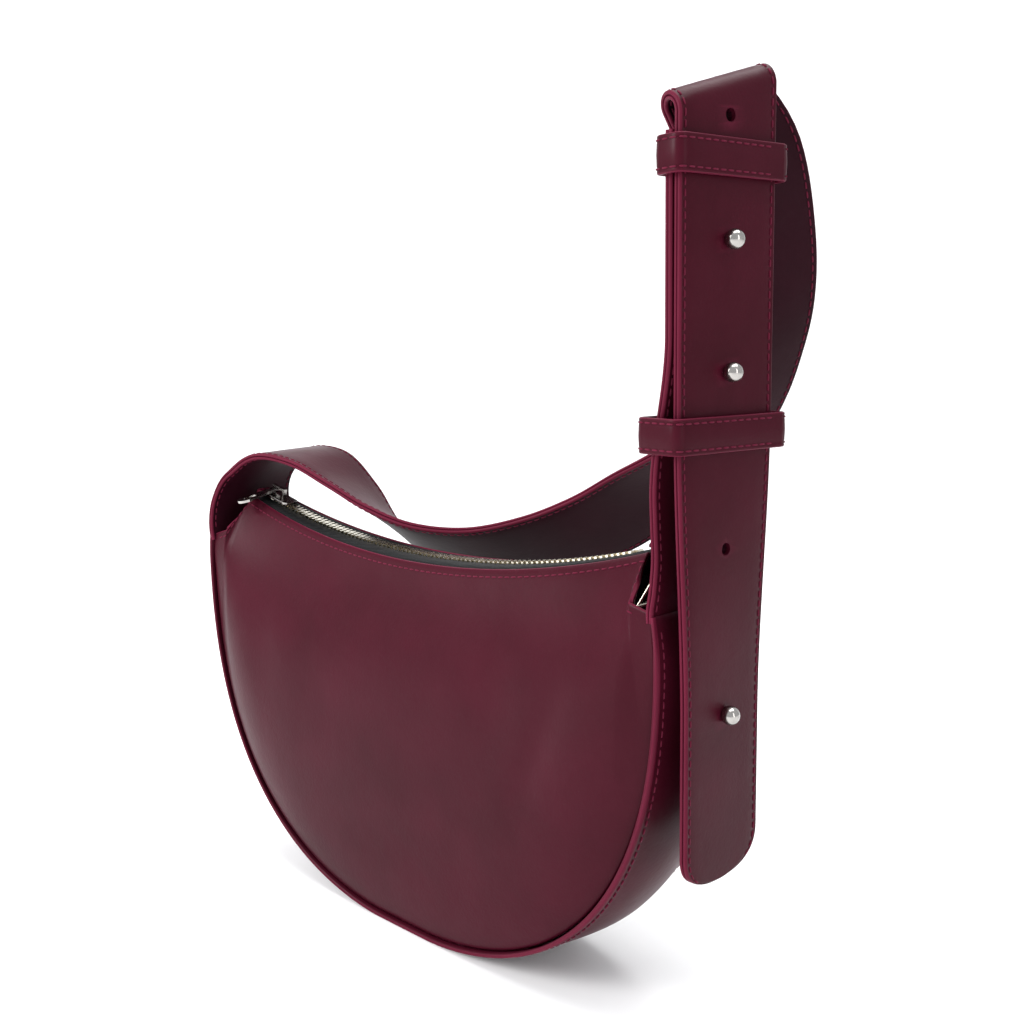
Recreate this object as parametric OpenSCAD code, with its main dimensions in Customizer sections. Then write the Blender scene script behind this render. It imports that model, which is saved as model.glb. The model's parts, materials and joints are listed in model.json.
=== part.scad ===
// Half-moon hobo bag with an adjustable, stud-fastened shoulder strap.
// Frame: +X towards the end with the studs, +Y from front panel to back panel, +Z up.
// The origin is on the ground, under the middle of the bag body.

/* [Bag body] */
// Width of the bag across the two side seams
bag_w = 286; // [250:1:320]
// Height at which the bag is widest
widest_z = 150; // [130:1:170]
// Roundness of the half-moon outline: 2 is an ellipse, more is squarer
outline_power = 2.35; // [2:0.05:3]
// How far the round bottom settles into a flat patch
bottom_settle = 0.5; // [0:0.5:4]
// Height of the top end of each side seam
seam_top_z = 166; // [160:1:170]
// Depth of the gusset between the front and back seams
gusset_d = 52; // [46:1:60]
// How far the middle of the gusset swells outwards
gusset_swell = 5; // [2:0.5:6]
// How far each panel swells beyond its seam
panel_swell = 9; // [4:0.5:12]
// Thickness of one leather ply
leather_t = 1.6; // [1.2:0.1:2]
// Thickness of the lining cloth
lining_t = 0.6; // [0.4:0.1:0.8]

/* [Zip] */
// Radius of the sagging top line of the zip
zip_r = 450; // [440:5:480]
// Height of the middle of the zip
zip_low_z = 167.5; // [166:0.5:169]
// Half length of the row of teeth
zip_half = 117; // [110:1:118]
// Distance from one tooth to the next on the same side
tooth_pitch = 2.8; // [2.6:0.1:3.2]
// Length of the slider
slider_l = 18; // [16:1:20]
// Length of the zip pull
pull_l = 22; // [18:1:24]

/* [Shoulder strap] */
// Width of the strap
strap_w = 46; // [44:1:48]
// Height of the tail end of the strap
tail_z = 65; // [60:1:72]
// Height at which the strap folds over
fold_z = 341; // [338:1:344]
// Radius of the fold, to the middle of the strap
fold_r = 5.5; // [5.3:0.1:6]
// Slant of the fold across the strap, in degrees
fold_slant = 17; // [14:1:20]
// Twist of the upright run from its tail to its top, in degrees
strap_turn = 10; // [6:1:12]
// Heights of the adjusting holes in the upright run
strap_holes = [127.5, 188, 250, 294.5, 335];
// Heights of the two studs on the billet strap
billet_studs = [250, 294.5];
// Height of the stud on the gusset
gusset_stud_z = 127.5; // [120:0.5:135]
// Diameter of a stud's ball head
ball_d = 7; // [6:0.5:8]
// Height of a keeper loop
keeper_h = 12.5; // [10:0.5:14]
// Height of the middle of the lower keeper
keeper_low_z = 229; // [226:1:231]
// Height of the middle of the upper keeper
keeper_high_z = 321; // [318:1:324]

/* [Hidden] */

half_w = bag_w / 2;
half_d = gusset_d / 2;
ply_gap = 0.1;
strap_t = 2 * leather_t + ply_gap;
upright_x = 152.4;
wall = "#5a1a2c";
dark_wall = "#3d1220";
nickel = "#c8c2b4";
black_cloth = "#17171a";

// ---- small functions -------------------------------------------------------

function clamp01(t) = max(0, min(1, t));
function ease(t) = let (u = clamp01(t)) u * u * (3 - 2 * u);
function mix(a, b, t) = a + (b - a) * t;
function unit(v) = v / norm(v);
function flatten(rows) = [for (row = rows) for (p = row) p];

// ---- sheets: a solid between two grids of points -----------------------------

function quad_faces(n, m, base, turned) = [
    for (i = [0:n - 2])
        for (j = [0:m - 2])
            let (a = base + i * m + j, b = a + 1, c = a + m + 1, d = a + m)
                for (face = turned ? [[a, c, b], [a, d, c]] : [[a, b, c], [a, c, d]])
                    face
];
function rim(n, m) = concat(
    [for (j = [0:m - 1]) j],
    [for (i = [1:n - 1]) i * m + m - 1],
    [for (j = [m - 2:-1:0]) (n - 1) * m + j],
    [for (i = [n - 2:-1:1]) i * m]
);
function rim_faces(n, m) = let (loop = rim(n, m), k = len(loop), far = n * m) [
    for (i = [0:k - 1])
        let (a = loop[i], b = loop[(i + 1) % k])
            for (face = [[b, a, a + far], [b, a + far, b + far]])
                face
];

// Joins an outer and an inner grid into one closed sheet of material.
module sheet(outer, inner) {
    n = len(outer);
    m = len(outer[0]);
    polyhedron(
        points = concat(flatten(outer), flatten(inner)),
        faces = concat(
            quad_faces(n, m, 0, false),
            quad_faces(n, m, n * m, true),
            rim_faces(n, m)
        ),
        convexity = 8
    );
}

// ---- half-moon outline -------------------------------------------------------

// Point [x, z] of the outline at an angle from the bottom centre, drawn in by inset.
function outline(angle, inset = 0) =
    let (
        a = abs(angle),
        x = (half_w - inset) * pow(sin(a), 2 / outline_power),
        drop = (widest_z + bottom_settle - inset) * pow(cos(a), 2 / outline_power)
    )
    [sign(angle) * x, max(inset, widest_z - drop)];

outline_steps = 22;
rise_steps = 3;
seam_lean = 1.5;

// Side seam above the widest height, where it leans in a little.
function upper_side(side, step) =
    let (rise = step / rise_steps)
    [side * (half_w - seam_lean * rise * rise), mix(widest_z, seam_top_z, rise)];

// The whole U of the gusset, from the left top to the right top.
u_path = concat(
    [for (i = [rise_steps:-1:1]) upper_side(-1, i)],
    [for (i = [-outline_steps:outline_steps]) outline(90 * i / outline_steps)],
    [for (i = [1:rise_steps]) upper_side(1, i)]
);

// Outward direction [x, z] of the U at each of its points.
u_normals = [
    for (i = [0:len(u_path) - 1])
        let (
            a = u_path[max(0, i - 1)],
            b = u_path[min(len(u_path) - 1, i + 1)],
            t = unit(b - a)
        )
        [t[1], -t[0]]
];

// ---- top line ----------------------------------------------------------------

arc_centre_z = zip_low_z + zip_r;
end_x = 127;
middle_y = 15;
end_y = 11;
edge_drop = 1;

// Height of a line that runs a given distance below the zip's own arc.
function arc_z(x, below = 0) = arc_centre_z - sqrt(pow(zip_r + below, 2) - x * x);
function edge_y(x) = mix(middle_y, end_y, pow(min(1, abs(x) / end_x), 2));

top_end = [end_x, end_y, arc_z(end_x, edge_drop)];
top_corner = [130.5, half_d, 169];
top_seam = [half_w - seam_lean, half_d, seam_top_z];
end_column = 15;
corner_column = 19;

// Top border of a panel above a given column: along the zip, down the open end,
// then level to the side seam.
function top_border(column) =
    let (k = abs(column), side = sign(column))
    k <= end_column
        ? let (x = end_x * outline(90 * k / outline_steps)[0] / outline(90 * end_column / outline_steps)[0])
          [side * x, edge_y(x), arc_z(x, edge_drop)]
        : let (p = k <= corner_column
              ? mix(top_end, top_corner, (k - end_column) / (corner_column - end_column))
              : mix(top_corner, top_seam, (k - corner_column) / (outline_steps - corner_column)))
          [side * p[0], p[1], p[2]];

// ---- panels --------------------------------------------------------------------

// Point of the bag's skin: v runs from the seam (0) to the top border (1).
function skin(column, v, inset) =
    let (
        low = outline(90 * column / outline_steps, inset),
        top = top_border(column),
        across = abs(low[0]) / half_w,
        fullness = mix(2, 8, pow(across, 4)),
        swell = panel_swell * pow(4 * v * (1 - v), 0.7) * (1 - pow(across, 6)),
        top_x = top[0] - sign(column) * inset * pow(across, 8)
    )
    [mix(low[0], top_x, v), mix(half_d, top[1], pow(v, fullness)) + swell - inset, mix(low[1], top[2], v)];

function skin_grid(inset, rows, v_max) = [
    for (column = [-outline_steps:outline_steps])
        [for (j = [0:rows])
            let (p = skin(column, v_max * j / rows, inset))
            [p[0], -p[1], p[2]]]
];

seam_step = 2;
lining_step = 5.2;

module front_panel() {
    color(wall)
        sheet(skin_grid(seam_step, 14, 1), skin_grid(seam_step + leather_t, 14, 1));
}

module back_panel() {
    mirror([0, 1, 0]) front_panel();
}

module lining_front() {
    color(black_cloth)
        sheet(skin_grid(lining_step, 8, 0.93), skin_grid(lining_step + lining_t, 8, 0.93));
}

module lining_back() {
    mirror([0, 1, 0]) lining_front();
}

// ---- gusset ----------------------------------------------------------------------

gusset_columns = 4;

// Swell of the gusset's middle: nothing where it rests, little where the strap takes over.
function swell_at(z) = gusset_swell * ease((z - 4) / 36) * (1 - 0.8 * ease((z - 146) / 18));

function gusset_grid(inset, depth) = [
    for (i = [0:len(u_path) - 1])
        [for (j = [-gusset_columns:gusset_columns])
            let (
                s = j / gusset_columns,
                out = swell_at(u_path[i][1]) * (1 - s * s) - inset
            )
            [u_path[i][0] + u_normals[i][0] * out, depth * s,
             max(inset, u_path[i][1] + u_normals[i][1] * out)]]
];

module gusset() {
    color(wall)
        difference() {
            sheet(gusset_grid(0, half_d), gusset_grid(leather_t, half_d));
            along_stud(gusset_stud_z) translate([0, 0, -20]) cylinder(d = screw_hole_d, h = 30, $fn = 24);
        }
}

module lining_gusset() {
    step = lining_step + lining_t + 0.3;
    color(black_cloth)
        sheet(gusset_grid(step, half_d - step), gusset_grid(step + lining_t, half_d - step));
}

// ---- zip ---------------------------------------------------------------------------

tape_t = 0.6;
tape_edge = 3.2;
tape_step = seam_step + leather_t + 0.5;
hem_v = 13 / 14;

// Half of the tape: its hem lies inside the panel, then it turns over towards the teeth.
function tape_grid(down) = [
    for (column = [-end_column:end_column])
        let (
            hem = skin(column, hem_v, tape_step + down),
            brow = skin(column, 1, tape_step + down),
            x = brow[0]
        )
        [
            [hem[0], -hem[1], hem[2]],
            [x, -brow[1], brow[2]],
            [x, -mix(brow[1], tape_edge, 0.4), arc_z(x, 0.6 + down)],
            [x, -tape_edge, arc_z(x, down)],
        ]
];

module zip_tape_front() {
    color(black_cloth) sheet(tape_grid(0), tape_grid(tape_t));
}

module zip_tape_back() {
    mirror([0, 1, 0]) zip_tape_front();
}

// Puts something on the zip's arc, upright on it, at an angle from the middle.
module on_arc(angle) {
    translate([0, 0, arc_centre_z])
        rotate([0, -angle, 0])
            translate([0, 0, -zip_r])
                children();
}

function arc_angle(x) = asin(x / zip_r);

tooth_l = 1.2;
tooth_w = 3.5;
tooth_h = 1.8;

module tooth_row(shift) {
    count = floor(2 * zip_half / tooth_pitch);
    for (i = [0:count - 1])
        on_arc(arc_angle(-zip_half + (i + shift) * tooth_pitch))
            translate([-tooth_l / 2, -tooth_w + 0.5, -tooth_h / 2])
                cube([tooth_l, tooth_w, tooth_h]);
}

module zip_teeth_front() {
    color(nickel) tooth_row(0.25);
}

module zip_teeth_back() {
    color(nickel) mirror([0, 1, 0]) tooth_row(0.75);
}

end_tab_x = 126.6;

module zip_end_right() {
    color(wall)
        on_arc(arc_angle(end_tab_x))
            difference() {
                translate([-2.2, -5.5, -2.6]) cube([4.4, 11, 5.2]);
                translate([-3, -7, -1.2]) cube([3, 14, 2.4]);
            }
}

module zip_end_left() {
    mirror([1, 0, 0]) zip_end_right();
}

slider_rest_x = -115;
slider_w = 9;
slider_low = tooth_h / 2 + 0.3;
slider_plate_t = 1.1;
bail_h = 4.6;
bail_bar = 1.2;
bail_leg_x = -7;
eye_h = 1.8;

// The slider's upper plate with its bail. It rides just above the closed teeth.
module zip_slider() {
    color(nickel)
        on_arc(arc_angle(slider_rest_x)) {
            translate([0, 0, slider_low])
                linear_extrude(slider_plate_t)
                    polygon([
                        [-slider_l / 2, -2.5], [-slider_l / 2 + 5, -slider_w / 2], [slider_l / 2 - 2, -slider_w / 2],
                        [slider_l / 2, -3], [slider_l / 2, 3], [slider_l / 2 - 2, slider_w / 2],
                        [-slider_l / 2 + 5, slider_w / 2], [-slider_l / 2, 2.5],
                    ]);
            translate([bail_leg_x - bail_bar / 2, -0.9, slider_low + slider_plate_t - 0.1])
                difference() {
                    cube([10, 1.8, bail_h + 0.1]);
                    translate([bail_bar, -1, -0.01]) cube([10 - 2 * bail_bar, 4, bail_h - bail_bar + 0.1]);
                }
        }
}

pull_w = 8;
pull_t = 1.2;
pull_yaw = 270;
pull_dip = 12;

// Where the bail's leg passes through the pull's eye.
slider_tilt = arc_angle(slider_rest_x);
eye_r = zip_r - slider_low - slider_plate_t - eye_h;
pull_eye = [
    bail_leg_x * cos(slider_tilt) + eye_r * sin(slider_tilt),
    0,
    arc_centre_z + bail_leg_x * sin(slider_tilt) - eye_r * cos(slider_tilt),
];

// The pull hangs from the bail's leg, out over the front panel's edge.
module zip_pull() {
    color(nickel)
        translate(pull_eye)
            rotate([0, 0, pull_yaw])
                rotate([0, pull_dip, 0])
                    difference() {
                        linear_extrude(pull_t, center = true)
                            difference() {
                                hull() {
                                    translate([-2.5, -2.5]) square([2, 5]);
                                    translate([pull_l - 5, -pull_w / 2]) square([1, pull_w]);
                                    translate([pull_l - 3.5, 0]) circle(d = pull_w - 1, $fn = 40);
                                }
                                translate([-1.5, -1.5]) square([3, 3]);
                                hull() {
                                    translate([pull_l - 9, 0]) circle(d = 3, $fn = 24);
                                    translate([pull_l - 5, 0]) circle(d = 3, $fn = 24);
                                }
                            }
                    }
}

// ---- end rings ---------------------------------------------------------------------

ring_x = 130.2;
ring_z = 167;
ring_half = 20.8;
ring_top_z = 185;
bar_d = 1.3;
base_bar_d = 2.2;

module bar(from, to, d) {
    run = to - from;
    translate(from)
        rotate([0, acos(run[2] / norm(run)), atan2(run[1], run[0])])
            cylinder(d = d, h = norm(run), $fn = 24);
    for (p = [from, to])
        translate(p) sphere(d = d, $fn = 24);
}

module ring_right() {
    color(nickel) {
        bar([ring_x, -ring_half, ring_z], [ring_x, ring_half, ring_z], base_bar_d);
        bar([ring_x, -ring_half, ring_z], [ring_x, 0, ring_top_z], bar_d);
        bar([ring_x, ring_half, ring_z], [ring_x, 0, ring_top_z], bar_d);
    }
}

module ring_left() {
    mirror([1, 0, 0]) ring_right();
}

// Leather tab folded over the ring's base bar and sewn to the gusset's inside.
module ring_tab_right() {
    loop_r = base_bar_d / 2 + 0.2;
    color(dark_wall)
        translate([ring_x, 12, ring_z])
            rotate([90, 0, 0])
                linear_extrude(24)
                    difference() {
                        union() {
                            circle(r = loop_r + 1.2, $fn = 40);
                            translate([-loop_r - 1.2, -8]) square([2 * loop_r + 2.4, 8]);
                            translate([loop_r, -16]) square([1.2, 16]);
                        }
                        circle(r = loop_r, $fn = 40);
                        translate([-loop_r, -10]) square([2 * loop_r, 10]);
                    }
}

module ring_tab_left() {
    mirror([1, 0, 0]) ring_tab_right();
}

// ---- straps ------------------------------------------------------------------------

// Twist of the upright run at a given height.
function turn_at(z) = strap_turn * ease((z - gusset_stud_z) / 110);
function across_at(z) = [sin(turn_at(z)), cos(turn_at(z)), 0];
function facing_at(z) = [cos(turn_at(z)), -sin(turn_at(z)), 0];

// A station of a strap: its centre, the direction across it, and its half width.
function station(p, w, half) = [p, w, half];

tail_round = 14;
function tail_half(z) =
    let (s = clamp01((z - tail_z) / tail_round))
    strap_w / 2 * max(0.35, pow(1 - pow(1 - s, 2.5), 1 / 2.5));

upright_stations = [
    for (z = [tail_z, tail_z + 1.5, tail_z + 4, tail_z + 8, tail_z + 14, each [90:12:fold_z - 8]])
        station([upright_x, 0, z], across_at(z), tail_half(z))
];

// The slanted fold at the top: half a turn round a cylinder whose axis is fold_axis.
fold_across = across_at(fold_z);
fold_out = facing_at(fold_z);
fold_axis = cos(fold_slant) * fold_across + [0, 0, sin(fold_slant)];
fold_up = [0, 0, cos(fold_slant)] - sin(fold_slant) * fold_across;
fold_centre = [upright_x, 0, fold_z] - fold_r * fold_out;
half_turn = PI * fold_r;

// Point and facing of the strap, a way past the start of the fold and a way across it.
function folded(past, across) =
    let (
        round = past * cos(fold_slant) - across * sin(fold_slant),
        along = past * sin(fold_slant) + across * cos(fold_slant),
        turn = 180 * clamp01(round / half_turn),
        face = cos(turn) * fold_out + sin(turn) * fold_up,
        straight = min(0, round) - max(0, round - half_turn)
    )
    [fold_centre + fold_r * face + straight * fold_up + along * fold_axis, face];

ribs_across = [-1, -0.5, 0, 0.5, 1];
fold_ribs = [
    for (past = [-7:1.5:26])
        [for (s = ribs_across) folded(past, s * strap_w / 2)]
];

// Where the strap sweeps behind the bag to the left end: centre, then direction across.
sweep = [
    [[144, 25, 321], [0.49, 0.76, 0.44]],
    [[141, 40, 295], [0.50, 0.82, 0.29]],
    [[138, 48, 272], [0.39, 0.90, 0.17]],
    [[132, 53, 252], [0.27, 0.96, 0.12]],
    [[124, 56, 235], [0.21, 0.98, 0.06]],
    [[111, 59, 220], [0.22, 0.97, -0.05]],
    [[93, 61, 207], [0.23, 0.94, -0.24]],
    [[73, 61, 194], [0.20, 0.88, -0.43]],
    [[49, 58, 179], [0.13, 0.81, -0.57]],
    [[22, 50, 168], [-0.05, 0.78, -0.63]],
    [[-8, 39, 162], [-0.27, 0.74, -0.62]],
    [[-37, 28, 165], [-0.41, 0.74, -0.53]],
    [[-60, 22, 176], [-0.42, 0.82, -0.36]],
    [[-79, 18, 191], [-0.34, 0.93, -0.14]],
    [[-99, 13, 204], [-0.24, 0.97, 0]],
    [[-121, 7, 206], [-0.20, 0.98, 0]],
    [[-137, 3, 195], [-0.13, 0.99, 0]],
    [[-142, 0, 180], [0, 1, 0]],
    [[-140.4, 0, 166.4], [0, 1, 0]],
];

// A smooth curve through a list of values (Catmull-Rom), two steps to a span.
function smooth(list) = [
    for (i = [0:len(list) - 2])
        let (
            a = list[max(0, i - 1)], b = list[i], c = list[i + 1],
            d = list[min(len(list) - 1, i + 2)]
        )
        for (t = [0, 0.5])
            b + 0.5 * t * (c - a + t * (2 * a - 5 * b + 4 * c - d + t * (3 * b - 3 * c + d - a)))
];

sweep_points = concat(smooth([for (s = sweep) s[0]]), [sweep[len(sweep) - 1][0]]);
sweep_across = concat(smooth([for (s = sweep) s[1]]), [[0, 1, 0]]);
function root_half(z_above) = mix(half_d, strap_w / 2, ease(z_above / 22));

sweep_stations = [
    for (i = [0:len(sweep_points) - 1])
        let (p = sweep_points[i])
        station(p, sweep_across[i], p[0] < -130 ? root_half(p[2] - seam_top_z) : strap_w / 2)
];

// The ribs of a strap: points across it at each station, each with the way it faces.
function ribs_of(route) = [
    for (i = [0:len(route) - 1])
        let (
            before = route[max(0, i - 1)][0],
            after = route[min(len(route) - 1, i + 1)][0],
            along = unit(after - before),
            face = unit(cross(route[i][1], along)),
            across = cross(along, face)
        )
        [for (s = ribs_across) [route[i][0] + across * s * route[i][2], face]]
];

strap_ribs = concat(ribs_of(upright_stations), fold_ribs, ribs_of(sweep_stations));

function billet_x(z) =
    z < 175 ? mix(140.4, 141.6, ease((z - 166) / 9)) : mix(141.6, 148.7, ease((z - 205) / 58));

billet_route = [
    for (z = [166.4, 170, 175, each [184:9:328], 329])
        station([billet_x(z), 0, z], across_at(z), root_half(z - seam_top_z))
];

billet_ribs = ribs_of(billet_route);

// One ply of a strap, between two distances out from its middle surface.
module ply(ribs, low, high) {
    sheet(
        [for (rib = ribs) [for (p = rib) p[0] + p[1] * high]],
        [for (rib = ribs) [for (p = rib) p[0] + p[1] * low]]
    );
}

outer_low = ply_gap / 2;
outer_high = outer_low + leather_t;

// Lays something's +Z along a stud's axis, with its origin in the strap's middle surface.
module along_stud(z) {
    translate([upright_x, 0, z])
        rotate([0, 0, -turn_at(z)])
            rotate([0, 90, 0])
                children();
}

hole_d = 5;
screw_hole_d = 3;

module punched(heights, d, depth = 8) {
    difference() {
        children();
        for (z = heights)
            along_stud(z) cylinder(d = d, h = depth, center = true, $fn = 24);
    }
}

module shoulder_strap() {
    color(wall) punched(strap_holes, hole_d) ply(strap_ribs, outer_low, outer_high);
}

module shoulder_lining() {
    color(dark_wall) punched(strap_holes, hole_d + 0.4) ply(strap_ribs, 0.2 - outer_high, -outer_low);
}

module billet_strap() {
    color(wall) punched(billet_studs, screw_hole_d, 24) ply(billet_ribs, outer_low, outer_high);
}

module billet_lining() {
    color(dark_wall) punched(billet_studs, screw_hole_d, 24) ply(billet_ribs, -outer_high, -outer_low);
}

// ---- keepers -----------------------------------------------------------------------

keeper_t = 2;

// A leather loop round both runs of the strap, from an inner x to an outer x.
module keeper(z, inner_x, outer_x, slack_y) {
    translate([upright_x, 0, z - keeper_h / 2])
        rotate([0, 0, -turn_at(z)])
            linear_extrude(keeper_h)
                difference() {
                    keeper_outline(inner_x - upright_x - keeper_t, outer_x - upright_x + keeper_t,
                                   strap_w / 2 + slack_y + keeper_t, 4);
                    keeper_outline(inner_x - upright_x, outer_x - upright_x, strap_w / 2 + slack_y, 2);
                }
}

module keeper_outline(low_x, high_x, half, r) {
    translate([low_x + r, -half + r])
        offset(r = r, $fn = 24)
            square([high_x - low_x - 2 * r, 2 * (half - r)]);
}

strap_face_x = upright_x + strap_t / 2;

module keeper_lower() {
    color(wall) keeper(keeper_low_z, 138.8, strap_face_x + 2, 2.8);
}

module keeper_upper() {
    color(wall) keeper(keeper_high_z, 148.7 - strap_t / 2 - 0.8, strap_face_x + 1.6, 1.6);
}

// ---- studs and their screws ----------------------------------------------------------

post_d = 3.6;
ball_out = strap_t / 2 + 2.6;
bore_d = 2.6;
screw_d = 2.4;
screw_head_d = 9;
screw_head_t = 1.2;

// A ball stud whose post starts at a given distance out from the strap's middle.
module stud(z, base) {
    along_stud(z)
        difference() {
            union() {
                translate([0, 0, base]) cylinder(d = post_d, h = ball_out - base, $fn = 32);
                translate([0, 0, ball_out]) sphere(d = ball_d, $fn = 40);
            }
            translate([0, 0, base - 1]) cylinder(d = bore_d, h = 4, $fn = 24);
        }
}

// A screw that reaches into a stud from behind the leather it is fixed to.
module screw(z, base, back) {
    along_stud(z) {
        translate([0, 0, back - screw_head_t]) cylinder(d = screw_head_d, h = screw_head_t, $fn = 32);
        translate([0, 0, back - 0.1]) cylinder(d = screw_d, h = base + 2.4 - back, $fn = 24);
    }
}

// Distances from the strap's middle surface to the two faces of the leather behind it.
billet_front = -(upright_x - 148.7) + strap_t / 2 + 0.1;
gusset_front = -(upright_x - half_w - gusset_swell) - 0.3;
function billet_gap(z) = billet_x(z) - 148.7;

module stud_gusset() {
    color(nickel) stud(gusset_stud_z, gusset_front);
}

module stud_lower() {
    color(nickel) stud(billet_studs[0], billet_front + billet_gap(billet_studs[0]));
}

module stud_upper() {
    color(nickel) stud(billet_studs[1], billet_front);
}

module screw_gusset() {
    color(nickel) screw(gusset_stud_z, gusset_front, gusset_front - leather_t - 1.2);
}

module screw_lower() {
    color(nickel)
        screw(billet_studs[0], billet_front + billet_gap(billet_studs[0]),
              billet_front + billet_gap(billet_studs[0]) - strap_t - 0.6);
}

module screw_upper() {
    color(nickel) screw(billet_studs[1], billet_front, billet_front - strap_t - 0.2);
}

front_panel();
back_panel();
gusset();
lining_front();
lining_back();
lining_gusset();
zip_tape_front();
zip_tape_back();
zip_teeth_front();
zip_teeth_back();
zip_end_left();
zip_end_right();
zip_slider();
zip_pull();
ring_left();
ring_right();
ring_tab_left();
ring_tab_right();
billet_strap();
billet_lining();
shoulder_strap();
shoulder_lining();
keeper_lower();
keeper_upper();
stud_gusset();
stud_lower();
stud_upper();
screw_gusset();
screw_lower();
screw_upper();
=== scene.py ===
"""Looks of the half-moon hobo bag. Lengths are in millimetres until a mesh is made."""

import json
import math

import bmesh
import bpy
import numpy as np
from mathutils import Matrix, Vector

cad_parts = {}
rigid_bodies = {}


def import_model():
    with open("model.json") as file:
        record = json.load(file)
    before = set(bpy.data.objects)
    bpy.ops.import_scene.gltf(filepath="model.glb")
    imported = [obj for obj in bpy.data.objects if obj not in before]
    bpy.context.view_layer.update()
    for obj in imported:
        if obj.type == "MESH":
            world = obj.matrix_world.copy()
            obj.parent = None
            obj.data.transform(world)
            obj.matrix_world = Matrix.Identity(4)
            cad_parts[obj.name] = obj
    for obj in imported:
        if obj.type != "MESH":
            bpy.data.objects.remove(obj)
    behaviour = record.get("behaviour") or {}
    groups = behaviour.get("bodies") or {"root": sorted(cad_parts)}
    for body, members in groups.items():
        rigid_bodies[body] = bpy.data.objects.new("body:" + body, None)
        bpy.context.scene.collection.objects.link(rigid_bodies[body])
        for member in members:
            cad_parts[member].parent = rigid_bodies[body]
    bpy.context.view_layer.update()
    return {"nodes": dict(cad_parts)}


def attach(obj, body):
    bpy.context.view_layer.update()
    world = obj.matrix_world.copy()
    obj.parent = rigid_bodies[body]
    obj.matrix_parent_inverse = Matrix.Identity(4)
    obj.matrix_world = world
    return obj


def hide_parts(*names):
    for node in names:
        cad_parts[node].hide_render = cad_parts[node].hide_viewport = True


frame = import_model()

# ---- sizes, the same as the CAD part's ---------------------------------------------

HALF_W = 143.0
WIDEST_Z = 150.0
POWER = 2.35
SETTLE = 0.5
FOOT_ROUNDING = 0.25
OUTLINE_STEPS = 22
END_COLUMN = 15
CORNER_COLUMN = 19
SEAM_TOP_Z = 166.0
HALF_D = 26.0
GUSSET_SWELL = 5.0
PANEL_SWELL = 9.0
LEATHER = 1.6
SEAM_LEAN = 1.5
ZIP_R = 450.0
ZIP_LOW_Z = 167.5
ARC_CENTRE_Z = ZIP_LOW_Z + ZIP_R
EDGE_DROP = 1.0
END_X = 127.0
MIDDLE_Y = 15.0
END_Y = 11.0
CORNER_X = 130.5
CORNER_Z = 169.0
STRAP_W = 46.0
STRAP_FACE_OUT = 1.65
STRAP_ROOT_X = 140.7
STRAP_ROOT_Z = 163.5
BILLET_LOW_X = 141.6
BILLET_X = 148.7
BILLET_TOP_Z = 329.0
TAIL_Z = 65.0
FOLD_Z = 341.0
FOLD_R = 5.5
FOLD_SLANT = math.radians(17)
STRAP_TURN = 10.0
UPRIGHT_X = 152.4
GUSSET_STUD_Z = 127.5
HOLE_D = 4.6
STRAP_HOLES = [127.5, 188, 250, 294.5, 335]

# ---- small helpers ------------------------------------------------------------------


def clamp01(t):
    return np.clip(t, 0.0, 1.0)


def ease(t):
    u = clamp01(t)
    return u * u * (3 - 2 * u)


def mix(a, b, t):
    return a + (b - a) * t


def unit(v):
    v = np.asarray(v, float)
    return v / np.linalg.norm(v, axis=-1, keepdims=True)


def make_mesh(name, verts, faces, materials, body, node=None, face_material=None):
    """A mesh object from millimetre points, riding on a body and standing for a CAD node."""
    mesh = bpy.data.meshes.new(name)
    mesh.from_pydata([tuple(v) for v in np.asarray(verts) * 0.001], [], faces)
    for material in materials:
        mesh.materials.append(material)
    if face_material is not None:
        mesh.polygons.foreach_set("material_index", face_material)
    mesh.polygons.foreach_set("use_smooth", [True] * len(mesh.polygons))
    mesh.update()
    obj = bpy.data.objects.new(name, mesh)
    bpy.context.scene.collection.objects.link(obj)
    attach(obj, body)
    if node:
        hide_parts(node)
    return obj


def loft(rings, closed=True, caps=True):
    """Vertices and faces through a list of rings of equal length."""
    rings = np.asarray(rings)
    n, m = rings.shape[:2]
    verts = rings.reshape(-1, 3)
    faces = []
    span = m if closed else m - 1
    for i in range(n - 1):
        for j in range(span):
            k = (j + 1) % m
            faces.append((i * m + j, i * m + k, (i + 1) * m + k, (i + 1) * m + j))
    if caps and closed:
        faces.append(tuple(reversed(range(m))))
        faces.append(tuple((n - 1) * m + j for j in range(m)))
    return verts, faces


# ---- materials ----------------------------------------------------------------------


def new_material(name, **inputs):
    """A Principled material and its node tree, shader and object coordinates."""
    material = bpy.data.materials.new(name)
    material.use_nodes = True
    tree = material.node_tree
    shader = tree.nodes["Principled BSDF"]
    for key, value in inputs.items():
        shader.inputs[key.replace("_", " ")].default_value = value
    place = tree.nodes.new("ShaderNodeTexCoord").outputs["Object"]
    return material, tree, shader, place


def noise(tree, place, scale, detail=3.0, rough=0.55):
    node = tree.nodes.new("ShaderNodeTexNoise")
    node.inputs["Scale"].default_value = scale
    node.inputs["Detail"].default_value = detail
    node.inputs["Roughness"].default_value = rough
    tree.links.new(place, node.inputs["Vector"])
    return node.outputs["Fac"]


def ramp(tree, value, low, high, at=(0.3, 0.7)):
    node = tree.nodes.new("ShaderNodeValToRGB")
    node.color_ramp.elements[0].position = at[0]
    node.color_ramp.elements[1].position = at[1]
    node.color_ramp.elements[0].color = low
    node.color_ramp.elements[1].color = high
    tree.links.new(value, node.inputs["Fac"])
    return node.outputs["Color"]


def scaled(tree, value, low, high):
    node = tree.nodes.new("ShaderNodeMapRange")
    node.inputs["To Min"].default_value = low
    node.inputs["To Max"].default_value = high
    tree.links.new(value, node.inputs["Value"])
    return node.outputs["Result"]


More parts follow.
